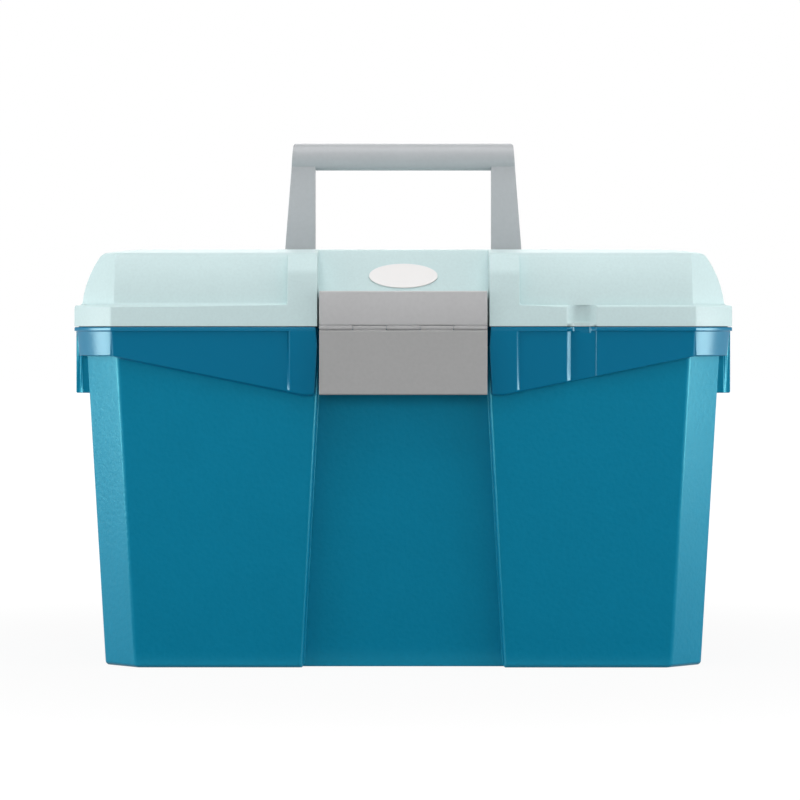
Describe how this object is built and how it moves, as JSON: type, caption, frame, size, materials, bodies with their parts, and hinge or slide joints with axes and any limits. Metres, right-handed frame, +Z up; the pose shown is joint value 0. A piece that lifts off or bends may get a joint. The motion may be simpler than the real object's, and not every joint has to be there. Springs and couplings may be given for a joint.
{
  "type": "horse grooming box",
  "caption": "Moulded plastic grooming box with a rear-hinged lid, a folding carry handle, a flap latch, side grip wings and a lift-out tray.",
  "frame": {"origin": "on the ground, under the middle of the overall box", "axes": "+X to the right of someone facing the latch, +Y from the latch to the hinges, +Z up"},
  "size_m": [0.4, 0.2712, 0.3237],
  "materials": {
    "body_plastic": "fine-grained satin",
    "lid_plastic": "fine-grained satin",
    "handle_plastic": "satin",
    "latch_plastic": "satin",
    "tray_plastic": "satin",
    "plate_plastic": "smooth",
    "pin_steel": "drawn"
  },
  "bodies": {
    "body": {"body_shell": "body_plastic", "hinge_pin_left": "pin_steel", "hinge_pin_right": "pin_steel"},
    "lid": {"lid_shell": "lid_plastic", "handle_pin_left": "pin_steel", "handle_pin_right": "pin_steel", "latch_hood": "latch_plastic", "latch_pin": "pin_steel", "oval_plate": "plate_plastic"},
    "handle": {"carry_handle": "handle_plastic"},
    "latch": {"latch_flap": "latch_plastic"},
    "insert": {"tray": "tray_plastic"}
  },
  "joints": [
    {"name": "lid_hinge", "type": "hinge", "parent": "body", "child": "lid", "pos_m": [0, 0.1324, 0.2068], "axis": [-1, 0, 0], "range_deg": [0, 105]},
    {"name": "handle_fold", "type": "hinge", "parent": "lid", "child": "handle", "pos_m": [0, 0, 0.2435], "axis": [-1, 0, 0], "range_deg": [0, 90]},
    {"name": "latch_flip", "type": "hinge", "parent": "lid", "child": "latch", "pos_m": [0, -0.1335, 0.2062], "axis": [-1, 0, 0], "range_deg": [0, 100]},
    {"name": "tray_lift", "type": "slide", "parent": "body", "child": "insert", "axis": [0, 0, 1], "range_m": [0, 0.02]}
  ]
}
